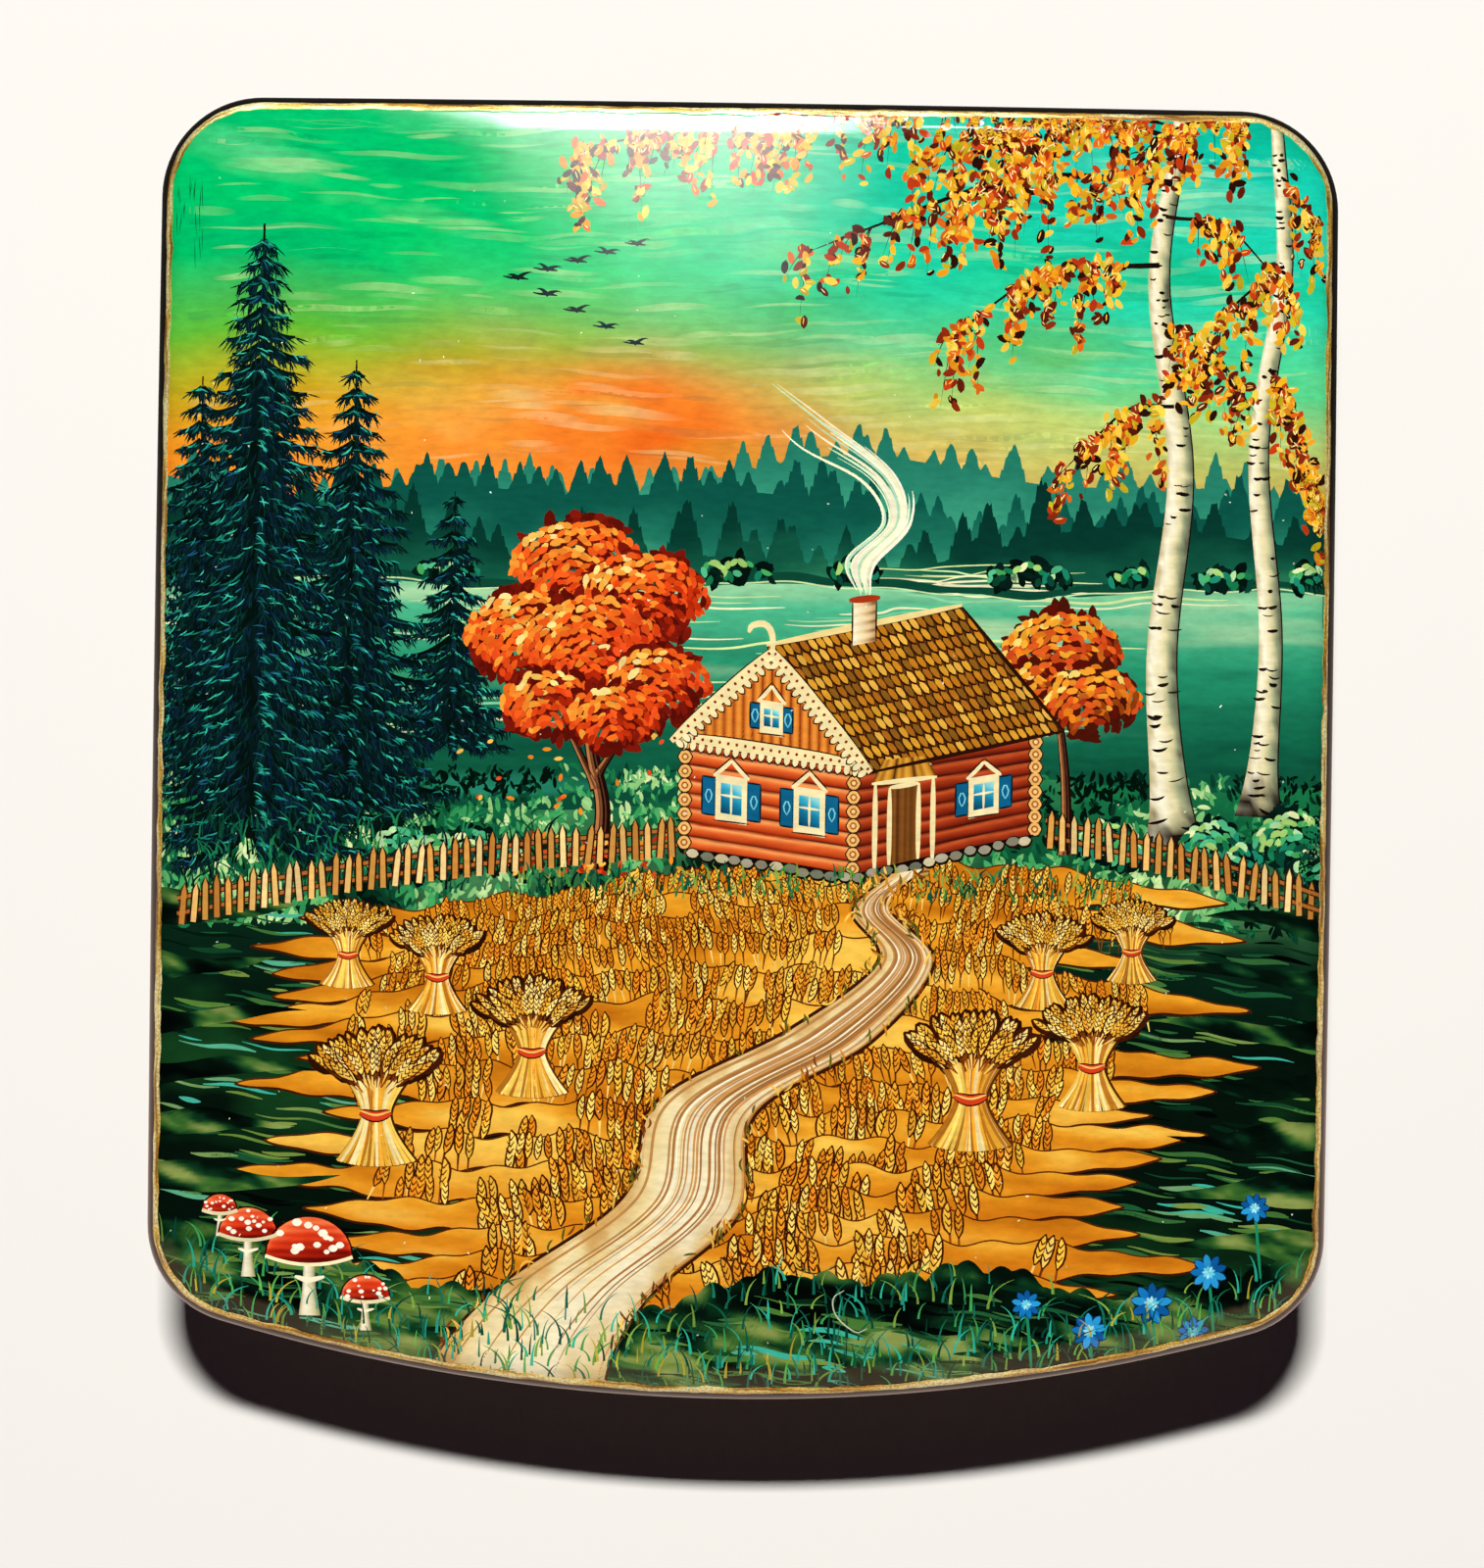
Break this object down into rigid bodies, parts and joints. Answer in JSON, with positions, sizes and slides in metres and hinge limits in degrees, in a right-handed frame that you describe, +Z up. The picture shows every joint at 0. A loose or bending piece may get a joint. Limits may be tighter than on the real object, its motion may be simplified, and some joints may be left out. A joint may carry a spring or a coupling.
{
  "type": "lacquer box",
  "caption": "Bow-fronted lacquered papier-mache box with a softly domed, hinged lid, painted on top and edged with a gold line.",
  "frame": {"origin": "middle of the underside of the base, on the surface that the box stands on", "axes": "+Z up through the lid, +Y to the straight hinged back, +X to the right as seen from the bowed front"},
  "size_m": [0.1, 0.11, 0.0404],
  "materials": {
    "black_lacquer": "gloss",
    "red_lacquer": "gloss",
    "painted_lacquer": "gloss",
    "brass": "satin"
  },
  "bodies": {
    "box_body": {"base_panel": "black_lacquer", "body_wall": "black_lacquer", "inner_liner": "red_lacquer", "hinge_leaf_body": "brass", "hinge_pin": "brass", "leaf_pins_body": "brass"},
    "lid": {"lid_frame": "black_lacquer", "lid_panel": "painted_lacquer", "hinge_leaf_lid": "brass", "leaf_pins_lid": "brass"}
  },
  "joints": [
    {"name": "lid_hinge", "type": "hinge", "parent": "box_body", "child": "lid", "pos_m": [0, 0.05375, 0.027], "axis": [-1, 0, 0], "range_deg": [0, 100]}
  ]
}
